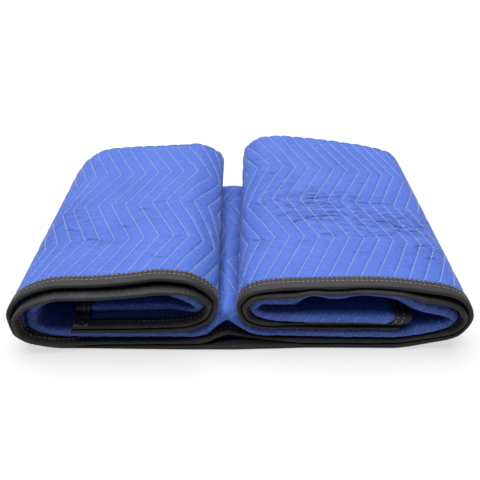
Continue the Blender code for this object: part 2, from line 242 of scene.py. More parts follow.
# Parts of the roll tops where the cover is drawn into fine wrinkles, in mm seen from above
Zone = namedtuple("Zone", "x y reach_x reach_y strength")
ZONES = [
    Zone(131, -24, 150, 60, 1.0),
    Zone(241, -54, 120, 55, 1.0),
    Zone(291, -124, 60, 70, 0.8),
    Zone(41, 66, 60, 90, 0.7),
    Zone(21, -104, 40, 90, 0.7),
    Zone(191, 126, 120, 60, 0.35),
    Zone(-289, -54, 55, 90, 0.9),
    Zone(-234, -99, 60, 40, 0.6),
    Zone(-44, -24, 35, 170, 0.7),
    Zone(-149, -34, 120, 70, 0.3),
]

# A row runs along the strip on one face of the sheet: where it lies in the fold, its press and its columns
Row = namedtuple("Row", "part place side press fine")


def zigzag(base, v):
    """Sideways swing of the quilting rows at a distance v from edge A, a little skew along the strip."""
    phase = ((v - ZIGZAG_START - ZIGZAG_DRIFT * base) / ZIGZAG_HALF) % 2.0
    return ZIGZAG_REACH * (2.0 * np.abs(phase - 1.0) - 1.0)


def eased(knots, values, at):
    """Smooth curve through the values that never overshoots them."""
    step = np.diff(knots)
    slope = np.diff(values) / step
    tangent = np.zeros(len(values))
    for i in range(1, len(values) - 1):
        if slope[i - 1] * slope[i] > 0:
            before = 2 * step[i] + step[i - 1]
            after = step[i] + 2 * step[i - 1]
            tangent[i] = (before + after) / (before / slope[i - 1] + after / slope[i])
    tangent[0], tangent[-1] = slope[0], slope[-1]
    i = np.clip(np.searchsorted(knots, at) - 1, 0, len(step) - 1)
    t = (at - knots[i]) / step[i]
    return (
        (2 * t**3 - 3 * t**2 + 1) * values[i]
        + (t**3 - 2 * t**2 + t) * step[i] * tangent[i]
        + (3 * t**2 - 2 * t**3) * values[i + 1]
        + (t**3 - t**2) * step[i] * tangent[i + 1]
    )


def strip_table():
    """The strip's section from its left end to its right end, against distance along its outer face."""
    left = [(-r.outer_x, r.outer_z, -r.inner_x, r.inner_z, -r.back_dx, r.back_dz) for r in reversed(LEFT)]
    right = [r[1:] for r in [VALLEY] + RIGHT]
    rows = np.array(left + right, float) * MM
    middle = (rows[:, 0:2] + rows[:, 2:4]) / 2
    knots = np.append(0, np.cumsum(np.linalg.norm(np.diff(middle, axis=0), axis=1)))
    at = np.linspace(0, knots[-1], 3000)
    columns = np.array([eased(knots, column, at) for column in rows.T])
    run = np.append(0, np.cumsum(np.hypot(np.diff(columns[0]), np.diff(columns[1]))))
    return run * PANEL_LENGTH / run[-1], columns


RUN, SECTION = strip_table()


def section_at(s, y):
    """Outer point, inner point and height of the stack of four layers."""
    inside = np.clip(s, RUN[0], RUN[-1])
    ox, oz, ix, iz, dx, dz = (np.interp(inside, RUN, column) for column in SECTION)
    past = s - inside
    back = y / DEPTH
    outer = np.array([ox + back * dx + past, np.maximum(oz + back * dz, 0)])
    inner = np.array([ix + back * dx + past, iz + back * dz])
    return outer, inner, np.hypot(*(inner - outer))


def thickness(height):
    return np.minimum(QUILT_THICK, height / 4 - LEAST_GAP)


def smooth_step(x):
    x = np.clip(x, 0, 1)
    return x * x * (3 - 2 * x)


def front(s, part):
    """How far the front of one layer sits back: edge A, edge B or the fold between the other two layers."""
    column = {"a1": 1, "b1": 2}.get(part, 3)
    knots, values = (np.array([row[k] for row in FRONTS]) * MM for k in (0, column))
    return eased(knots, values, np.clip(s, 0, knots[-1]))


def pressed(s, spacing, thick):
    """Spacing of the two layers of the front fold, closer where it is pinched."""
    knots, pinch = (np.array([row[k] for row in FRONTS]) for k in (0, 4))
    share = eased(knots * MM, pinch, np.clip(s, 0, knots[-1] * MM))
    return spacing - share * np.maximum(0.0, spacing - thick - LEAST_GAP)


def sheet_point(s, part, place, offset_of):
    """A point on the folded sheet: a1, b1, b2, a2 are layers from the outside in, d1, d2 and c its folds."""
    place = np.broadcast_to(place, s.shape)
    fixed_y = {"d1": DEPTH, "d2": DEPTH, "c": 0.0}
    outer, inner, height = section_at(s, np.full_like(s, fixed_y[part]) if part in fixed_y else place)
    thick = thickness(height)
    offset = offset_of(thick)
    spacing = (height - thick) / 3
    first = thick / 2
    fold_y = DEPTH - height / 2
    if part == "d1":
        radius = 1.5 * spacing + offset
        y = fold_y + radius * np.sin(place)
        across = height / 2 - radius * np.cos(place)
    elif part == "d2":
        radius = 0.5 * spacing - offset
        y = fold_y + radius * np.sin(place)
        across = height / 2 + radius * np.cos(place)
    elif part == "c":
        half = pressed(s, spacing, thick) / 2
        radius = half + offset
        y = front(s, part) + thick / 2 + half - radius * np.sin(place)
        across = first + 3 * spacing - half + radius * np.cos(place)
    else:
        level = {"a1": 0, "b1": 1, "b2": 2, "a2": 3}[part]
        facing = {"a1": -1, "b1": 1, "b2": -1, "a2": 1}[part]
        y = place + front(s, part) * np.maximum(0.0, 1 - place / (4 * TAPE_WIDE))
        across = first + level * spacing + facing * offset
    x, z = outer + (inner - outer) * across / height
    return np.stack([x + VALLEY_X, y + FRONT_Y, z], axis=-1)


def along_sheet(part, place):
    """Distance of a row from edge A, over the folded sheet."""
    fold_y = DEPTH - BACK_FOLD
    return {
        "a1": place,
        "d1": fold_y + (QUARTER - fold_y) * 2 * place / np.pi,
        "a2": 2 * QUARTER - place,
        "c": 2 * QUARTER + FRONT_FOLD * (place / np.pi - 0.5),
        "b2": 2 * QUARTER + place,
        "d2": 2 * QUARTER + fold_y + (QUARTER - fold_y) * 2 * place / np.pi,
        "b1": 4 * QUARTER - place,
    }[part]


def plain_columns():
    """Sections closer together where the strip turns."""
    turned = np.zeros(len(RUN))
    for x, z in (SECTION[0:2], SECTION[2:4]):
        heading = np.unwrap(np.arctan2(np.gradient(z), np.gradient(x)))
        turned[1:] += np.cumsum(np.abs(np.diff(heading))) / 2
    measure = RUN / STEP_RUN + turned / STEP_TURN
    count = int(np.ceil(measure[-1]))
    even = np.interp(np.linspace(0, measure[-1], count + 1), measure, RUN)
    near = np.array([0, TAPE_WIDE + TAPE_GAP, TAPE_WIDE + TAPE_GAP + SHOULDER_RUN])
    clear = near[-1] + 15 * MM
    even = even[(even > clear) & (even < PANEL_LENGTH - clear)]
    return np.concatenate([near, even, PANEL_LENGTH - near[::-1]])


def quilted_columns(ranges, steps):
    """So many sections to a quilting row in the ranges that show, and the plain ones elsewhere."""
    keep = [s for s in PLAIN if not any(a < s < b for a, b in ranges)]
    for k in range(int(PANEL_LENGTH / ROW_PITCH * steps) + 1):
        s = ROW_PHASE + k * ROW_PITCH / steps
        if any(a <= s <= b for a, b in ranges):
            keep.append(s)
    keep = np.array(sorted(keep))
    return keep[np.append(True, np.diff(keep) > 0.8 * MM)]


PLAIN = plain_columns()
WHOLE = [(0.03, PANEL_LENGTH - 0.03)]
RANGES = {
    "plain": [],
    "under": [],
    "rolls": [(0.225, 0.745), (1.28, 1.81)],
    "valley": [(0.94, 1.09)],
    "front": WHOLE,
    "back": WHOLE,
}
SWING = {"plain": 0, "under": 0, "rolls": 1, "valley": 1, "front": 1, "back": 1}
STEPS = {"rolls": 10, "valley": 8, "front": 5, "back": 6}
COLUMNS = {"plain": PLAIN, "under": quilted_columns(WHOLE, 4)}
COLUMNS |= {fine: quilted_columns(RANGES[fine], STEPS[fine]) for fine in STEPS}


def shown_share(s, fine):
    """One inside the ranges that show, easing to nothing at their ends."""
    reach = [np.minimum(s - a, b - s) for a, b in RANGES[fine]]
    return np.clip(np.max(reach, axis=0) / RANGE_FADE, 0, 1) if reach else np.zeros_like(s)


def soft_noise(u, v, seed):
    """Slow uneven waves from a few crossing sines, about -1 to 1."""
    draw = np.random.default_rng(seed)
    total = 0
    for _ in range(5):
        angle, shift = draw.uniform(0, np.pi), draw.uniform(0, 2 * np.pi)
        total = total + np.sin(2 * np.pi * (u * np.cos(angle) + v * np.sin(angle)) + shift)
    return total / 3


def relief(s, v, fine):
    """How far the face sinks below the full puff, from the quilting rows and the puckers between them."""
    if not RANGES[fine]:
        return np.zeros_like(s)
    phase = np.abs(((s - ROW_PHASE) / ROW_PITCH + 0.5) % 1.0 - 0.5)
    puff = 1 - (1 - 2 * phase) ** 4
    sunk = GROOVE * (1 - puff) * (1 + 0.15 * soft_noise(s / 0.09, v / 0.09, 3))
    if fine == "front":
        sunk = 0.5 * sunk
    channel = np.floor((s - ROW_PHASE) / ROW_PITCH)
    pucker = np.sin(2 * np.pi * v / 0.019 + 2.4 * channel + 2.0 * soft_noise(s / 0.05, v / 0.11, 5))
    strength = np.clip(0.4 + 0.6 * soft_noise(s / 0.14, v / 0.16, 7), 0, 1)
    sunk = sunk + 0.34 * MM * (1 + pucker) * strength * (1 - 0.5 * puff)
    sunk = sunk + UNEVEN * (1 + soft_noise(s / 0.17, v / 0.21, 11))
    return sunk * shown_share(s, fine)


def crease_reach(points):
    """For points on the roll tops: signed distance to the nearest crease, its depth there, and its width."""
    nearest = np.full(len(points), 20 * MM)
    deep, wide = np.zeros(len(points)), np.full(len(points), MM)
    on_top = smooth_step((points[:, 2] - 85 * MM) / (15 * MM))
    for crease in CREASES:
        start, end = np.array(crease[0:2]) * MM, np.array(crease[2:4]) * MM
        run = end - start
        length = np.linalg.norm(run)
        t = (points[:, :2] - start) @ run / length**2
        across = (points[:, :2] - start) @ np.array([-run[1], run[0]]) / length
        across = across + 0.9 * MM * np.sin(t * 5 + crease.x0)
        fade = smooth_step(1 - np.maximum(np.abs(2 * t - 1) - 0.55, 0) / 0.75)
        better = (np.abs(across) < np.abs(nearest)) & (fade > 0)
        nearest = np.where(better, across, nearest)
        deep = np.where(better, crease.deep * MM * fade, deep)
        wide = np.where(better, crease.wide * MM, wide)
    deep = deep * on_top * smooth_step((9 * MM - np.abs(nearest)) / (3 * MM))
    return nearest, deep, wide


def wrinkled(points):
    """How wrinkled the cover is at points on the rolls, 0 to 1, from the table of zones."""
    zone = np.full(len(points), 0.12)
    for part in ZONES:
        across = (points[:, 0] / MM - part.x) / part.reach_x
        back = (points[:, 1] / MM - part.y) / part.reach_y
        zone = np.maximum(zone, part.strength * np.exp(-(across**2) - back**2))
    return zone


def crease_depth(points):
    """The soft trough that goes with each listed crease."""
    away, deep, wide = crease_reach(points)
    return 0.45 * deep * np.exp(-((away / (3 * wide)) ** 2))


def row_points(row):
    """Points of one row, and where its sections lie on the strip."""
    base = COLUMNS[row.fine]
    v = along_sheet(row.part, row.place)
    share = shown_share(base, row.fine) * SWING[row.fine]
    s = base + zigzag(base, v) * share
    ends = np.minimum(base, PANEL_LENGTH - base) < TAPE_WIDE + SHOULDER_RUN / 2
    sunk = np.where(ends, SIDE_PRESS + END_PRESS, row.press) + relief(base, np.full_like(base, v), row.fine)
    if row.fine == "rolls" and CREASES:
        level = sheet_point(s, row.part, row.place, lambda thick: row.side * thick / 2)
        sunk = sunk + crease_depth(level)
    points = sheet_point(s, row.part, row.place, lambda thick: row.side * (thick / 2 - sunk))
    return points, base, row_maps(row, base, s, v, points)


def row_maps(row, base, s, v, points):
    """Where a row's points lie on the flat cloth, among the quilting rows and beside the creases."""
    away, deep, zone = np.full_like(base, 20 * MM), np.zeros_like(base), np.full_like(base, 0.25)
    if row.fine == "rolls":
        away, deep, _ = crease_reach(points)
        zone = wrinkled(points)
    cloth = np.stack([s, np.full_like(s, v)], axis=1)
    rows = np.stack([(base - ROW_PHASE) / ROW_PITCH, np.full_like(s, v)], axis=1)
    zones = np.stack([zone, np.zeros_like(s)], axis=1)
    return np.concatenate([cloth, rows, np.stack([away, deep], axis=1), zones], axis=1)


def stops(start, end, step):
    count = max(1, int(round(abs(end - start) / step)))
    return np.linspace(start, end, count + 1)


def quilt_rows():
    """All rows round the folded sheet: up the face that shows, then back along the other one."""
    tape = SIDE_PRESS
    edge_in = NOSE_SOLID + TAPE_GAP
    tape_end = TAPE_WIDE + TAPE_GAP
    full = tape_end + SHOULDER_RUN
    turns = np.radians
    back = DEPTH - TURNED_IN
    rows = [Row("a1", edge_in, 1, tape, "under"), Row("a1", tape_end, 1, tape, "under")]
    rows += [Row("a1", y, 1, 0, "rolls") for y in stops(full, back, DEPTH_STEP)]
    rows += [Row("d1", turns(a), 1, 0, "back") for a in stops(10, 180, 11)]
    rows += [Row("a2", y, 1, 0, "valley") for y in stops(back - 10 * MM, 115 * MM, 2 * DEPTH_STEP)]
    rows += [Row("a2", y, 1, 0, "front") for y in stops(100 * MM, 55 * MM, 15 * MM)]
    rows += [Row("c", turns(a), 1, 0, "front") for a in stops(0, 180, 18)]
    rows += [Row("d2", turns(a), 1, 0, "plain") for a in (0, 90, 180)]
    rows += [Row("b1", full, 1, 0, "under")]
    rows += [Row("b1", tape_end, 1, tape, "under"), Row("b1", edge_in, 1, tape, "under")]
    other = [Row("b1", edge_in, -1, tape, "under"), Row("b1", tape_end, -1, tape, "under")]
    other += [Row("b1", full, -1, 0, "plain")]
    other += [Row("d2", turns(a), -1, 0, "plain") for a in (180, 135, 90, 45, 0)]
    other += [Row("c", turns(a), -1, 0, "plain") for a in (180, 90, 0)]
    other += [Row("a2", y * MM, -1, 0, "plain") for y in (60, 241)]
    other += [Row("d1", turns(a), -1, 0, "plain") for a in (180, 135, 90, 45, 0)]
    other += [Row("a1", full, -1, 0, "plain")]
    other += [Row("a1", tape_end, -1, tape, "under"), Row("a1", edge_in, -1, tape, "under")]
    return rows, other


def zipped(first, second, first_at, second_at, lead=True):
    """Triangles between two runs of vertices, stepping along the one that is behind, or the lead one."""
    faces = []
    i = j = 0
    while i < len(first) - 1 or j < len(second) - 1:
        if j == len(second) - 1:
            step_first = True
        elif i == len(first) - 1:
            step_first = False
        else:
            behind = (second_at[j] + second_at[j + 1]) - (first_at[i] + first_at[i + 1])
            step_first = behind > 0 or (behind == 0 and lead)
        if step_first:
            faces.append((first[i], first[i + 1], second[j]))
            i += 1
        else:
            faces.append((first[i], second[j + 1], second[j]))
            j += 1
    return faces


def joined_rows(loops, at, points):
    """Faces between each row and the next: quads where both have the same sections, or else triangles."""
    faces = []
    for k in range(len(loops)):
        n = (k + 1) % len(loops)
        if len(at[k]) == len(at[n]) and np.array_equal(at[k], at[n]) and len(at[k]) > len(PLAIN):
            a, b = np.array(loops[k]), np.array(loops[n])
            faces += np.stack([a[:-1], a[1:], b[1:], b[:-1]], axis=1).tolist()
        else:
            lead = points[k][:, 1].mean() < points[n][:, 1].mean()
            faces += zipped(loops[k], loops[n], at[k], at[n], lead)
    return faces


def make_piece(name, points, faces, material, maps):
    """A closed mesh with its faces turned outward, smooth shaded, with its own maps of two columns each."""
    mesh = bpy.data.meshes.new(name)
    mesh.from_pydata(np.asarray(points).tolist(), [], faces)
    corner = np.empty(len(mesh.loops), np.int32)
    mesh.loops.foreach_get("vertex_index", corner)
    for k, label in enumerate(MAP_NAMES[: maps.shape[1] // 2]):
        layer = mesh.uv_layers.new(name=label)
        layer.data.foreach_set("uv", maps[corner, 2 * k : 2 * k + 2].astype(np.float32).ravel())
    shaped = bmesh.new()
    shaped.from_mesh(mesh)
    bmesh.ops.recalc_face_normals(shaped, faces=shaped.faces)
    shaped.to_mesh(mesh)
    shaped.free()
    mesh.polygons.foreach_set("use_smooth", [True] * len(mesh.polygons))
    mesh.materials.append(material)
    made = bpy.data.objects.new(name, mesh)
    bpy.context.scene.collection.objects.link(made)
    return made


def make_quilt(material):
    rows, other = quilt_rows()
    points, loops, at, cloth, count = [], [], [], [], 0
    for row in rows + other:
        found, base, maps = row_points(row)
        points.append(found)
        loops.append(list(range(count, count + len(found))))
        at.append(base)
        cloth.append(maps)
        count += len(found)
    faces = joined_rows(loops, at, points)
    for end in (0, -1):
        near = [loop[end] for loop in loops[: len(rows)]]
        far = [loop[end] for loop in reversed(loops[len(rows):])]
        near_at = [along_sheet(row.part, row.place) for row in rows]
        far_at = [along_sheet(row.part, row.place) for row in reversed(other)]
        faces += zipped(near, far, near_at, far_at)
    return make_piece("quilted_cloth", np.concatenate(points), faces, material, np.concatenate(cloth))


def swept(name, rings, cloth, outer_count, material):
    """Rings joined one to the next, each a closed section with its outer points first."""
    size = len(rings[0])
    faces = []
    i = np.arange(size)
    n = (i + 1) % size
    for k in range(len(rings) - 1):
        here, there = k * size, (k + 1) * size
        faces += np.stack([here + i, here + n, there + n, there + i], axis=1).tolist()
    for start in (0, (len(rings) - 1) * size):
        outer = [start + k for k in range(outer_count)]
        inner = [start + k for k in reversed(range(outer_count, size))]
        faces += zipped(outer, inner, np.linspace(0, 1, len(outer)), np.linspace(0, 1, len(inner)))
    return make_piece(name, np.concatenate(rings), faces, material, np.concatenate(cloth))


def tape_section(nose_run, nose_solid):
    """Folded tape across an edge: distance in from it, side, depth below the face, distance round the tape."""
    flat = [(22.0, 0.4), (21.6, 0.0), (19.0, 0.0), (16.5, 0.0), (14.0, 0.0), (11.0, 0.0), (8.0, 0.0)]
    outer = [(d * MM, 1, depth * MM) for d, depth in flat]
    for share in (1.0, 0.72, 0.5, 0.32, 0.18, 0.08, 0.02):
        outer.append((share * nose_run, 1, NOSE_DEPTH * (1 - math.sqrt(1 - (1 - share) ** 2))))
    outer += [(d, -1, depth) for d, side, depth in reversed(outer)]
    inner = [(d, 1, TAPE_THICK) for d in (TAPE_WIDE, TAPE_WIDE / 2, nose_solid)]
    inner += [(d, -1, depth) for d, side, depth in reversed(inner)]
    around = [-d if side > 0 else d for d, side, depth in outer + inner[::-1]]
    return outer + inner[::-1], len(outer), around


def gathers(s, amount, seed):
    """Uneven gathers of a tape along its length, from 0 to the amount."""
    draw = np.sin(2 * np.pi * s / GATHER_PITCH + 2.5 * soft_noise(s / 0.05, 0 * s, seed))
    strength = np.clip(0.45 + 0.8 * soft_noise(s / 0.08, 0 * s + 0.3, seed + 1), 0.05, 1)
    return amount * strength * 0.5 * (1 + draw)


def make_edge_binding(name, layer, step, gather, seed, material):
    """Tape over a long edge at the front, running the whole strip and past both ends."""
    section, outer_count, around = tape_section(NOSE_RUN, NOSE_SOLID)
    count = int(PANEL_LENGTH / step)
    even = np.linspace(0, PANEL_LENGTH, count)[1:-1]
    s = np.concatenate([[-SIDE_PRESS], even, [PANEL_LENGTH + SIDE_PRESS]])
    sunk = gathers(s, gather, seed) * smooth_step(np.minimum(s, PANEL_LENGTH - s) / (30 * MM))
    lines, cloth = [], []
    for k, (inward, side, depth) in enumerate(section):
        nose = np.clip(1 - inward / (4 * MM), 0, 1)
        fade = np.clip(1.15 - inward / (20 * MM), 0.1, 1)
        move = sunk * fade if k < outer_count else 0 * s
        in_at, sunk_at = inward + move * nose, depth + move * (1 - nose)
        lines.append(sheet_point(s, layer, in_at, lambda thick: side * (thick / 2 - sunk_at)))
        cloth.append(np.stack([s, np.full_like(s, around[k])], axis=1))
    return swept(name, list(np.stack(lines, axis=1)), list(np.stack(cloth, axis=1)), outer_count, material)


def side_stops(step):
    """Stops along the strip's end, through all the sheet's folds."""
    turns = np.radians(np.linspace(0, 180, 13))
    back = DEPTH - 24 * MM
    run = [("a1", y) for y in stops(TAPE_WIDE + CORNER_GAP, back, step)]
    run += [("d1", a) for a in turns]
    run += [("a2", y) for y in stops(back, 45 * MM, step)]
    run += [("c", a) for a in turns]
    run += [("b2", y) for y in stops(45 * MM, back, step)]
    run += [("d2", a) for a in turns]
    run += [("b1", y) for y in stops(back, TAPE_WIDE + CORNER_GAP, step)]
    return run


def end_s(inward, at_left):
    """Place along the strip of a point so far in from the outside of an end's tape."""
    s = inward - SIDE_PRESS
    return s if at_left else PANEL_LENGTH - s


def make_side_binding(name, at_left, material):
    """Tape over the strip's end, following the sheet through all its folds."""
    section, outer_count, around = tape_section(SIDE_NOSE_RUN, TAPE_THICK)
    inward, side, depth = (np.array(column) for column in zip(*section))
    rings, cloth = [], []
    for part, place in side_stops(7 * MM):
        s = end_s(inward, at_left)
        rings.append(sheet_point(s, part, place, lambda thick: side * (thick / 2 - depth)))
        cloth.append(np.stack([np.full_like(s, along_sheet(part, place)), np.array(around)], axis=1))
    return swept(name, rings, cloth, outer_count, material)


# Sewing: each stitch is a short plump bead of thread, laid along its seam


def seam_frames(points, lifts, pitch):
    """Middles of even stitches along a line of points, with their direction and the way up from the cloth."""
    run = np.append(0, np.cumsum(np.linalg.norm(np.diff(points, axis=0), axis=1)))
    count = max(1, int(run[-1] / pitch))
    at = (np.arange(count) + 0.5) * run[-1] / count
    middle = np.stack([np.interp(at, run, points[:, k]) for k in range(3)], axis=1)
    ahead = np.stack([np.interp(at + pitch / 4, run, points[:, k]) for k in range(3)], axis=1)
    behind = np.stack([np.interp(at - pitch / 4, run, points[:, k]) for k in range(3)], axis=1)
    up = np.stack([np.interp(at, run, lifts[:, k]) for k in range(3)], axis=1)
    return middle, ahead - behind, up / np.linalg.norm(up, axis=1)[:, None]


def quilted_face(base, part, place, fine, above):
    """Points on the quilted face at so high above it, for one quilting row at base along the strip."""
    base = np.full(1, base)
    v = along_sheet(part, place)
    s = base + zigzag(base, v) * shown_share(base, fine) * SWING[fine]
    sunk = relief(base, np.full_like(base, v), fine)
    level = sheet_point(s, part, place, lambda thick: thick / 2)
    if fine == "rolls":
        sunk = sunk + crease_depth(level)
    low = sheet_point(s, part, place, lambda thick: thick / 2 - sunk + above)
    high = sheet_point(s, part, place, lambda thick: thick / 2 + UPWARD)
    return low[0], (high - level)[0]


def quilting_seams(fine, run):
    """Every quilting row that shows in the ranges of one fineness, over a run of stops through the fold."""
    seams = []
    for k in range(int(PANEL_LENGTH / ROW_PITCH) + 1):
        base = ROW_PHASE + k * ROW_PITCH
        if any(a < base < b for a, b in RANGES[fine]):
            found = [quilted_face(base, part, place, fine, 0.15 * MM) for part, place in run]
            seams.append((np.array([f[0] for f in found]), np.array([f[1] for f in found])))
    return seams


def tape_seam(layer, inward, start, end):
    """A row of stitching along a front edge's tape."""
    s = np.linspace(start, end, int((end - start) / (3 * MM)))
    on = sheet_point(s, layer, inward, lambda thick: thick / 2 + SEAM_LIFT)
    off = sheet_point(s, layer, inward, lambda thick: thick / 2 + UPWARD)
    return on, off - on


def side_seam(inward, at_left):
    """A row of stitching along an end's tape, through the folds."""
    s = np.full(1, end_s(inward, at_left))
    run = side_stops(5 * MM)
    on = [sheet_point(s, part, place, lambda thick: thick / 2 + SEAM_LIFT)[0] for part, place in run]
    off = [sheet_point(s, part, place, lambda thick: thick / 2 + UPWARD)[0] for part, place in run]
    return np.array(on), np.array(off) - np.array(on)


def tack_seams(layer, at_left):
    """A square with a cross in it, sewn through the tapes where two edges meet."""
    near, far = TACK_NEAR, TACK_FAR
    corners = [(near, near), (far, near), (far, far), (near, far), (near, near), (far, far)]
    corners += [(far, near), (near, far)]
    seams = []
    for (a, b), (c, d) in zip(corners[:-1], corners[1:]):
        if (a, b) == (far, far) and (c, d) == (far, near):
            continue
        t = np.linspace(0, 1, 8)
        s = end_s(a + (c - a) * t, at_left)
        place = b + (d - b) * t
        on = sheet_point(s, layer, place, lambda thick: thick / 2 + 0.12 * MM)
        off = sheet_point(s, layer, place, lambda thick: thick / 2 + UPWARD)
        seams.append((on, off - on))
    return seams


def stitch_tree(name):
    """Node tree that lays one bead of thread on each point, along its seam and up from the cloth."""
    tree = bpy.data.node_groups.new(name, "GeometryNodeTree")
    sockets = {}
    face = tree.interface
    face.new_socket("Geometry", in_out="INPUT", socket_type="NodeSocketGeometry")
    for label, kind in (("Length", "Float"), ("Width", "Float"), ("Height", "Float"), ("Thread", "Material")):
        sockets[label] = face.new_socket(label, in_out="INPUT", socket_type="NodeSocket" + kind).identifier
    face.new_socket("Geometry", in_out="OUTPUT", socket_type="NodeSocketGeometry")

    def node(kind, settings=None, links=None):
        made = tree.nodes.new(kind)
        for key, value in (settings or {}).items():
            setattr(made, key, value)
        for key, value in (links or {}).items():
            if isinstance(value, bpy.types.NodeSocket):
                tree.links.new(value, made.inputs[key])
            else:
                made.inputs[key].default_value = value
        return made

    given = node("NodeGroupInput").outputs
    along = node("GeometryNodeInputNamedAttribute", {"data_type": "FLOAT_VECTOR"}, {"Name": "along"})
    up = node("GeometryNodeInputNamedAttribute", {"data_type": "FLOAT_VECTOR"}, {"Name": "up"})
    turn = node(
        "FunctionNodeAxesToRotation",
        {"primary_axis": "X", "secondary_axis": "Z"},
        {"Primary Axis": along.outputs[0], "Secondary Axis": up.outputs[0]},
    )
    size = node("ShaderNodeCombineXYZ", None, {0: given["Length"], 1: given["Width"], 2: given["Height"]})
    bead = node("GeometryNodeMeshIcoSphere", None, {"Radius": 0.5, "Subdivisions": 1})
    links = {"Points": given["Geometry"], "Instance": bead.outputs[0]}
    links |= {"Rotation": turn.outputs[0], "Scale": size.outputs[0]}
    laid = node("GeometryNodeInstanceOnPoints", None, links)
    real = node("GeometryNodeRealizeInstances", None, {0: laid.outputs[0]})
    smooth = node("GeometryNodeSetShadeSmooth", None, {0: real.outputs[0]})
    dyed = node("GeometryNodeSetMaterial", None, {"Geometry": smooth.outputs[0], "Material": given["Thread"]})
    node("NodeGroupOutput", None, {0: dyed.outputs[0]})
    return tree, sockets


def sew(name, seams, pitch, size, thread):
    """One mesh with all the stitches of some seams."""
    frames = [seam_frames(points, lifts, pitch) for points, lifts in seams]
    middle, along, up = (np.concatenate([f[k] for f in frames]) for k in range(3))
    marks = bpy.data.meshes.new(name + "_marks")
    marks.from_pydata(middle.tolist(), [], [])
    for label, values in (("along", along), ("up", up)):
        marks.attributes.new(label, "FLOAT_VECTOR", "POINT").data.foreach_set("vector", values.ravel())
    holder = bpy.data.objects.new(name + "_marks", marks)
    bpy.context.scene.collection.objects.link(holder)
    tree, sockets = stitch_tree(name + "_stitch")
    laid = holder.modifiers.new("stitches", "NODES")
    laid.node_group = tree
    for label, value in (("Length", size[0]), ("Width", size[1]), ("Height", size[2]), ("Thread", thread)):
        laid[sockets[label]] = value
    sewn = bpy.data.meshes.new_from_object(holder.evaluated_get(bpy.context.evaluated_depsgraph_get()))
    sewn.name = name
    bpy.data.objects.remove(holder)
    made = bpy.data.objects.new(name, sewn)
    bpy.context.scene.collection.objects.link(made)
    return made


# Finishes


class Reading:
    """One socket of a finish. Python's operators on it add Math nodes."""

    def __init__(self, finish, socket):
        self.finish = finish
        self.socket = socket

    def maths(self, operation, *values):
        return self.finish.node("ShaderNodeMath", {"operation": operation}, dict(enumerate(values)))

    def __add__(self, other):
        return self.maths("ADD", self, other)

    __radd__ = __add__

    def __sub__(self, other):
        return self.maths("SUBTRACT", self, other)

    def __rsub__(self, other):
        return self.maths("SUBTRACT", other, self)

    def __mul__(self, other):
        return self.maths("MULTIPLY", self, other)

    __rmul__ = __mul__

    def __truediv__(self, other):
        return self.maths("DIVIDE", self, other)

    def __rtruediv__(self, other):
        return self.maths("DIVIDE", other, self)

    def __abs__(self):
        return self.maths("ABSOLUTE", self)

    def wave(self):
        return self.maths("SINE", self)

    def fraction(self):
        return self.maths("FRACT", self)

    def floor(self):
        return self.maths("FLOOR", self)

    def exp(self):
        return self.maths("EXPONENT", self)

    def least(self, other):
        return self.maths("MINIMUM", self, other)

    def ramp(self, start, end, low=0.0, high=1.0):
        """Smooth change from low to high as the value goes from start to end."""
        settings = {"interpolation_type": "SMOOTHSTEP"}
        values = {"Value": self, "From Min": start, "From Max": end, "To Min": low, "To Max": high}
        return self.finish.node("ShaderNodeMapRange", settings, values)


class Finish:
    """A material being made, and the one method that adds a node to it."""

    def __init__(self, name):
        self.material = bpy.data.materials.new(name)
        self.material.use_nodes = True
        self.tree = self.material.node_tree
        self.tree.nodes.clear()

    def node(self, kind, settings=None, inputs=None, out=0):
        made = self.tree.nodes.new(kind)
        for key, value in (settings or {}).items():
            setattr(made, key, value)
        for key, value in (inputs or {}).items():
            if isinstance(value, Reading):
                self.tree.links.new(value.socket, made.inputs[key])
            else:
                made.inputs[key].default_value = value
        return Reading(self, made.outputs[out])

    def cloth(self, name="cloth"):
        """Both coordinates of one of the piece's own maps."""
        where = self.node("ShaderNodeUVMap", {"uv_map": name})
        return self.node("ShaderNodeSeparateXYZ", None, {0: where}), self.node(
            "ShaderNodeSeparateXYZ", None, {0: where}, out=1
        )

    def place(self, x, y, z=0.0):
        return self.node("ShaderNodeCombineXYZ", None, {0: x, 1: y, 2: z})

    def noise(self, where, scale=1.0, detail=2.0, rough=0.5):
        values = {"Vector": where, "Scale": scale, "Detail": detail, "Roughness": rough}
        return self.node("ShaderNodeTexNoise", None, values)

    def mix(self, factor, first, second, blend="MIX"):
        settings = {"data_type": "RGBA", "blend_type": blend}
        return self.node("ShaderNodeMix", settings, {0: factor, 6: first, 7: second}, out=2)

    def surface(self, colour, roughness, height, constants):
        """The shader itself: what varies is linked, and what is the same all over is set on its socket."""
        bump = self.node("ShaderNodeBump", None, {"Strength": 1.0, "Distance": 1.0, "Height": height})
        values = {"Base Color": colour, "Roughness": roughness, "Normal": bump} | constants
        shader = self.node("ShaderNodeBsdfPrincipled", None, values)
        self.node_output(shader)
        return self.material

    def node_output(self, shader):
        made = self.tree.nodes.new("ShaderNodeOutputMaterial")
        self.tree.links.new(shader.socket, made.inputs["Surface"])


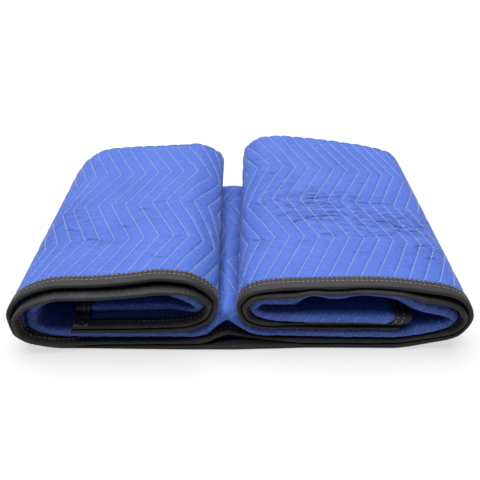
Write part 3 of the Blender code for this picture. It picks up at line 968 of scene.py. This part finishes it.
def quilted_finish():
    """Thin plain-woven blue cover over wadding: fine weave, wrinkles across the channels, needle puckers, and
    painted shade darkening the wrinkle lines and creases.
    """
    f = Finish("quilted_cloth")
    s, v = f.cloth()
    row, _ = f.cloth("rows")
    away, deep = f.cloth("creases")
    zone, _ = f.cloth("zones")
    patch = f.noise(f.place(s * 9, v * 9), 1, 2)
    warp = f.noise(f.place(s * 26, v * 26, 1.3), 1, 1)
    weave = (s * (2 * math.pi / 0.00075)).wave() * (v * (2 * math.pi / 0.00075)).wave()
    slub = f.noise(f.place(s * 260, v * 2600, 0.5), 1, 1) + f.noise(f.place(s * 2600, v * 260, 0.9), 1, 1)
    drawn = zone * patch.ramp(0.36, 0.62, 0.35, 1.0)
    long = f.noise(f.place(s * 20, v * 120 + warp * 1.2), 1, 2, 0.5)
    fine = f.noise(f.place(s * 42, v * 300 + warp * 2.0, 2.1), 1, 1)
    first = f.noise(f.place(s * 34, v * 230 + s * 25 + warp * 2.0, 5.5), 1, 1, 0.4)
    second = f.noise(f.place(s * 46, v * 250 - s * 45 + warp * 2.0, 8.1), 1, 1, 0.4)
    line = (first.ramp(0.52, 0.63) + second.ramp(0.53, 0.65)) * drawn
    crumple = f.noise(f.place(s * 150, v * 210 + warp * 3.0, 3.7), 1, 2, 0.6)
    near = abs((row + 0.5).fraction() - 0.5)
    beside = near.ramp(0.0, 0.22, 1.0, 0.0)
    pucker = (v * (2 * math.pi / 0.0056) + warp * 9 + (row + 0.5).floor() * 2.1).wave()
    puckered = patch.ramp(0.35, 0.65, 0.00012, 0.00038)
    nose = abs(v - along_sheet("c", math.pi / 2)).ramp(0.012, 0.034, 1.0, 0.0)
    gathered = (s * (2 * math.pi / 0.0043) + warp * 11).wave() * nose * patch.ramp(0.4, 0.6, 0.3, 1.0)
    gap = (away / 0.0011) * (away / 0.0011)
    fold = deep * (gap * -1).exp()
    seam = near.ramp(0.0, 0.03, 1.0, 0.0)
    height = (
        weave * 0.00002
        + (slub - 1) * 0.00004
        + (long - 0.5) * drawn.ramp(0.0, 1.0, 0.0008, 0.0034)
        + (fine - 0.5) * drawn.ramp(0.0, 1.0, 0.0004, 0.0013)
        + (crumple - 0.5) * 0.0019
        + beside * pucker * puckered
        + gathered * 0.00030
        - line * 0.0008
        - fold * 0.8
        - seam * 0.0004
    )
    shade = patch * 0.4 + f.noise(f.place(s * 110, v * 240, 8.0), 1, 3, 0.7) * 0.6
    colour = f.mix(shade.ramp(0.35, 0.65), (0.030, 0.078, 0.335, 1), (0.052, 0.108, 0.405, 1))
    colour = f.mix((slub * 0.5).ramp(0.3, 0.7, 0.0, 0.35), colour, (0.064, 0.124, 0.440, 1))
    # Painted shade: the colour darkens to deep navy along the wrinkle lines and in the crease troughs.
    dark = (line * 0.55 + fold * 420).least(0.85)
    colour = f.mix(dark, colour, (0.012, 0.024, 0.150, 1))
    roughness = 0.62 - (slub - 1) * 0.1 + line * 0.1
    constants = {"Sheen Weight": 0.08, "Sheen Roughness": 0.45, "Specular IOR Level": 0.3}
    constants["Sheen Tint"] = (0.75, 0.83, 1.0, 1)
    return f.surface(colour, roughness, height, constants)


def tape_finish(name, gather):
    """Black woven tape: ribs across it, random mottling with painted light that darkens it towards its fold,
    and gathers at its stitching with painted highlights.
    """
    f = Finish(name)
    s, across = f.cloth()
    ribs = (s * (2 * math.pi / 0.0011)).wave()
    picks = (across * (2 * math.pi / 0.0006)).wave()
    warp = f.noise(f.place(s * 40, across * 40), 1, 2)
    pucker = f.noise(f.place(s * 210, across * 45 + warp, 1.7), 1, 2)
    fluff = f.noise(f.place(s * 900, across * 900, 4.0), 1, 2)
    inward = abs(across)
    sewn = abs(inward - 0.016).ramp(0.0, 0.006, 1.0, 0.35)
    loose = f.noise(f.place(s * 11, 0.0, 6.0), 1, 2).ramp(0.42, 0.6, 0.35, 1.0)
    drawn = (pucker - 0.5) * sewn * loose * gather
    height = ribs * 0.00004 + picks * 0.00002 + drawn + (fluff - 0.5) * 0.00016
    # Painted light: the tape's colour is lighter over its flat faces and darker towards its fold at the front,
    # mixed with random mottling.
    painted_light_and_mottle = inward.ramp(0.002, 0.012, 0.0, 0.4) * fluff + warp * 0.4
    colour = f.mix(painted_light_and_mottle, (0.0070, 0.0070, 0.0082, 1), (0.0132, 0.0128, 0.0150, 1))
    colour = f.mix(fluff.ramp(0.5, 0.75, 0.0, 0.5), colour, (0.023, 0.0225, 0.0255, 1))
    # Painted highlights: lighter streaks on the ridges of the gathers.
    painted_gather_highlight = (pucker.ramp(0.5, 0.66) * loose * sewn * (gather * 260)).least(0.85)
    colour = f.mix(painted_gather_highlight, colour, (0.040, 0.039, 0.044, 1))
    roughness = 0.6 + fluff * 0.2 - painted_light_and_mottle * 0.1
    constants = {"Sheen Weight": 0.09, "Sheen Roughness": 0.4, "Specular IOR Level": 0.4}
    constants["Sheen Tint"] = (0.95, 0.93, 1.0, 1)
    return f.surface(colour, roughness, height, constants)


def thread_finish(name, dark, light):
    """Spun thread: a slight mottling and twist."""
    f = Finish(name)
    where = f.node("ShaderNodeTexCoord", None, None, out="Object")
    mottle = f.noise(where, 350, 2)
    twist = f.noise(where, 2600, 1)
    colour = f.mix(mottle.ramp(0.35, 0.65), (*dark, 1), (*light, 1))
    constants = {"Specular IOR Level": 0.35, "Sheen Weight": 0.1}
    return f.surface(colour, 0.6 + mottle * 0.15, twist * 0.00008, constants)


def floor_finish():
    """Plain pale floor of a light table, with the faintest tooth."""
    f = Finish("pale_floor")
    where = f.node("ShaderNodeTexCoord", None, None, out="Object")
    tooth = f.noise(where, 300, 2)
    colour = f.mix(tooth, (0.185, 0.185, 0.187, 1), (0.19, 0.19, 0.19, 1))
    constants = {"Specular IOR Level": 0.1, "Emission Color": (1, 1, 1, 1), "Emission Strength": 0.64}
    return f.surface(colour, 0.85 + tooth * 0.05, tooth * 0.00002, constants)


# Studio


def add_camera():
    """The photograph's view: from the front, above, at the height and distance its perspective gives."""
    made = bpy.data.cameras.new("view")
    made.lens = 50.0
    made.sensor_width = 36.0
    made.shift_x = -2 / 480
    made.clip_start, made.clip_end = 0.01, 50
    camera = bpy.data.objects.new("view", made)
    camera.location = (0.003, -0.9884, 0.6774)
    camera.rotation_euler = (math.radians(90 - 32.21), 0, 0)
    bpy.context.scene.collection.objects.link(camera)
    bpy.context.scene.camera = camera


def add_studio():
    """One broad soft light from above and a little behind, weak light all round, and a plain floor."""
    scene = bpy.context.scene
    scene.view_settings.view_transform = "Standard"
    world = bpy.data.worlds.new("white_room")
    world.use_nodes = True
    world.node_tree.nodes["Background"].inputs["Color"].default_value = (1.0, 0.86, 0.97, 1)
    world.node_tree.nodes["Background"].inputs["Strength"].default_value = 0.10
    scene.world = world
    made = bpy.data.lights.new("overhead", "SUN")
    made.energy = 6.7
    made.angle = math.radians(66)
    light = bpy.data.objects.new("overhead", made)
    light.rotation_euler = (math.radians(-8), math.radians(-5), 0)
    scene.collection.objects.link(light)
    floor_mesh = bpy.data.meshes.new("floor")
    half = 6.0
    corners = [(-half, -half, -0.0004), (half, -half, -0.0004), (half, half, -0.0004), (-half, half, -0.0004)]
    floor_mesh.from_pydata(corners, [], [(0, 1, 2, 3)])
    floor_mesh.materials.append(floor_finish())
    floor = bpy.data.objects.new("floor", floor_mesh)
    scene.collection.objects.link(floor)


add_camera()
add_studio()

tape = tape_finish("woven_tape", 0.0014)
gathered_tape = tape_finish("gathered_tape", 0.0034)
quilt = make_quilt(quilted_finish())
tapes = [
    (make_edge_binding("tape_a", "a1", TAPE_STEP, GATHER_A, 21, tape), "binding_a"),
    (make_edge_binding("tape_b", "b1", LOOSE_TAPE_STEP, GATHER_B, 31, gathered_tape), "binding_b"),
    (make_side_binding("tape_left", True, tape), "binding_left"),
    (make_side_binding("tape_right", False, tape), "binding_right"),
]

blue_thread = thread_finish("quilting_thread", (0.33, 0.41, 0.43), (0.45, 0.52, 0.53))
tan_thread = thread_finish("binding_thread", (0.24, 0.21, 0.17), (0.36, 0.33, 0.28))
pale_thread = thread_finish("tack_thread", (0.24, 0.235, 0.225), (0.36, 0.355, 0.345))

# Where the quilting rows are sewn: over the tops, round the back, down the valley and round the front fold
back_stop = DEPTH - TURNED_IN
top_run = [("a1", y) for y in stops(24.5 * MM, back_stop, 3 * MM)]
back_run = [("d1", a) for a in np.radians(np.linspace(0, 180, 14))]
valley_run = [("a2", y) for y in stops(back_stop, 24 * MM, 4 * MM)]
front_run = [("a2", y) for y in stops(90 * MM, 45 * MM, 5 * MM)]
front_run += [("c", a) for a in np.radians(np.linspace(0, 180, 12))]
open_rows = quilting_seams("rolls", top_run) + quilting_seams("valley", valley_run)
fold_rows = quilting_seams("back", back_run) + quilting_seams("front", front_run)

ends = (24 * MM, PANEL_LENGTH - 24 * MM)
edge_rows = [tape_seam(layer, inward, *ends) for layer in ("a1", "b1") for inward in TAPE_SEAMS]
side_rows = [side_seam(inward, at_left) for at_left in (True, False) for inward in TAPE_SEAMS]
corners = [(layer, at_left) for layer in ("a1", "b1") for at_left in (True, False)]
tacks = [seam for layer, at_left in corners for seam in tack_seams(layer, at_left)]

threads = [
    sew("quilting_stitches", open_rows, QUILTING_PITCH, QUILTING_BEAD, blue_thread),
    sew("fold_stitches", fold_rows, QUILTING_PITCH, FINE_BEAD, blue_thread),
    sew("binding_stitches", edge_rows + side_rows, BINDING_PITCH, BINDING_BEAD, tan_thread),
    sew("corner_tacks", tacks, TACK_PITCH, TACK_BEAD, pale_thread),
]

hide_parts("quilt")
for made, node in tapes:
    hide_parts(node)
for made in [quilt] + [made for made, _ in tapes] + threads:
    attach(made, "root")
